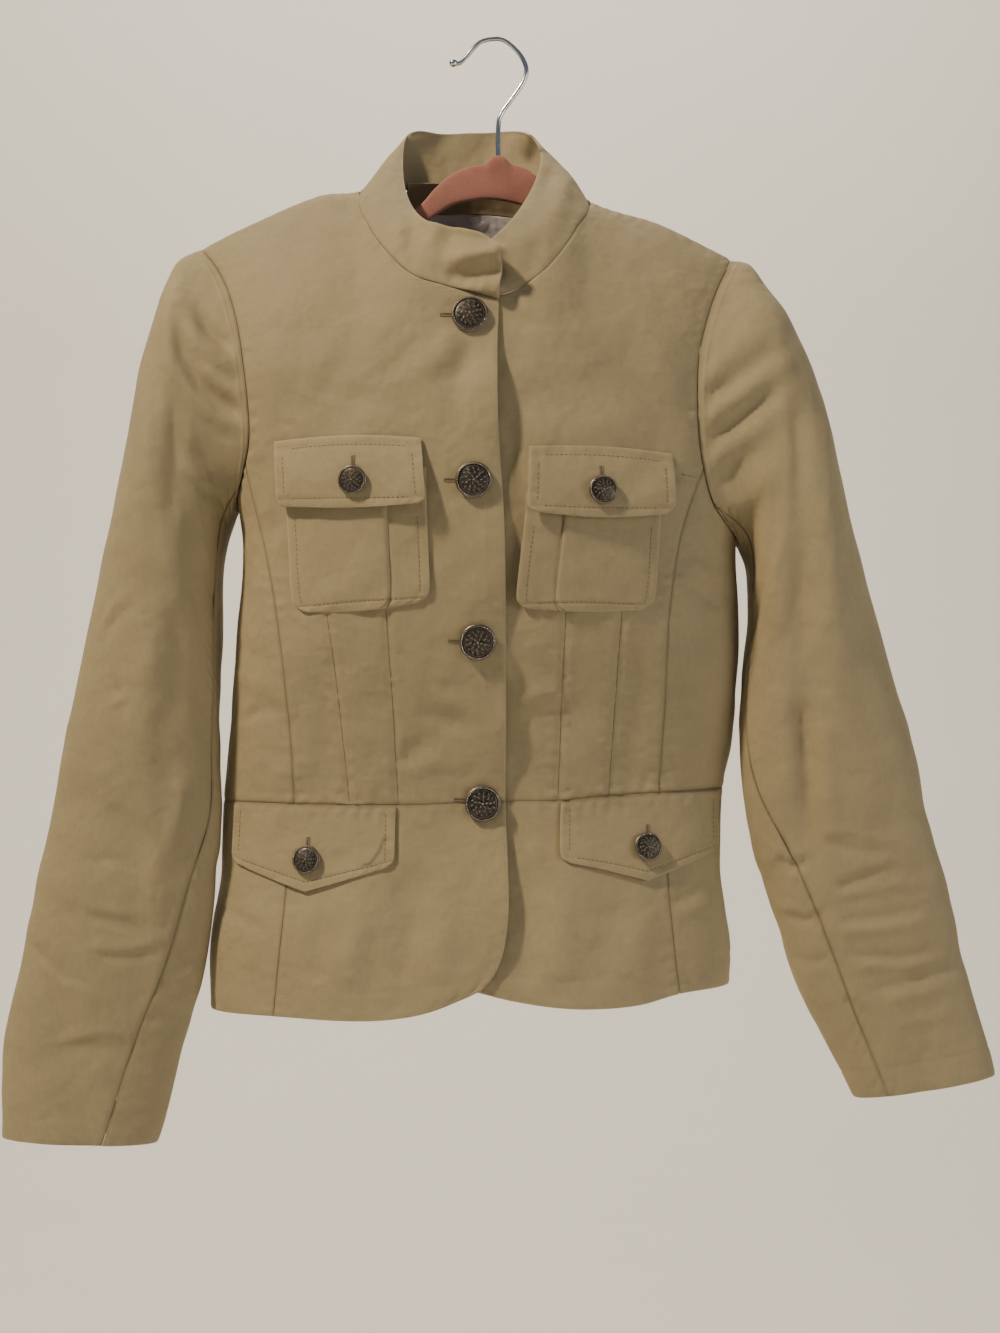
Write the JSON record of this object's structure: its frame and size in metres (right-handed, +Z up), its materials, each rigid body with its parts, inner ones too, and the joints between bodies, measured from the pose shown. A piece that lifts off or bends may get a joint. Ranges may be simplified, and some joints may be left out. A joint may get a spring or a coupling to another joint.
{
  "type": "utility jacket on a hanger",
  "caption": "Fitted cotton utility jacket with a stand collar, metal buttons, flapped chest pockets and waist flaps, hung on a slim velvet hanger",
  "frame": {"origin": "the inside top of the hanger's hook, where it rests on a rod or wall hook", "axes": "+Z up along the hanging jacket, -Y out of its front, +X to the wearer's left"},
  "size_m": [0.6824, 0.1537, 0.7675],
  "materials": {
    "twill": "khaki cotton twill with a soft sheen",
    "facing": "khaki cotton twill, inside face",
    "lining": "smooth lilac-grey lining",
    "velvet": "dusty pink flocked velvet",
    "chrome": "polished steel wire",
    "pewter": "antique pewter, polished on the high spots"
  },
  "bodies": {
    "root": {"front_right_upper": "twill", "side_right_upper": "twill", "front_right_skirt": "twill", "sleeve_right_top": "twill", "sleeve_right_under": "twill", "chest_pocket_right": "twill", "chest_flap_right": "twill", "waist_flap_right": "twill", "front_left_upper": "twill", "side_left_upper": "twill", "front_left_skirt": "twill", "sleeve_left_top": "twill", "sleeve_left_under": "twill", "chest_pocket_left": "twill", "chest_flap_left": "twill", "waist_flap_left": "twill", "back_upper": "twill", "back_skirt": "twill", "collar": "twill", "back_neck_facing": "facing", "back_lining": "lining", "front_button_1": "pewter", "front_button_2": "pewter", "front_button_3": "pewter", "front_button_4": "pewter", "chest_button_right": "pewter", "chest_button_left": "pewter", "waist_button_right": "pewter", "waist_button_left": "pewter", "hanger": "velvet", "hanger_hook": "chrome"}
  },
  "joints": []
}
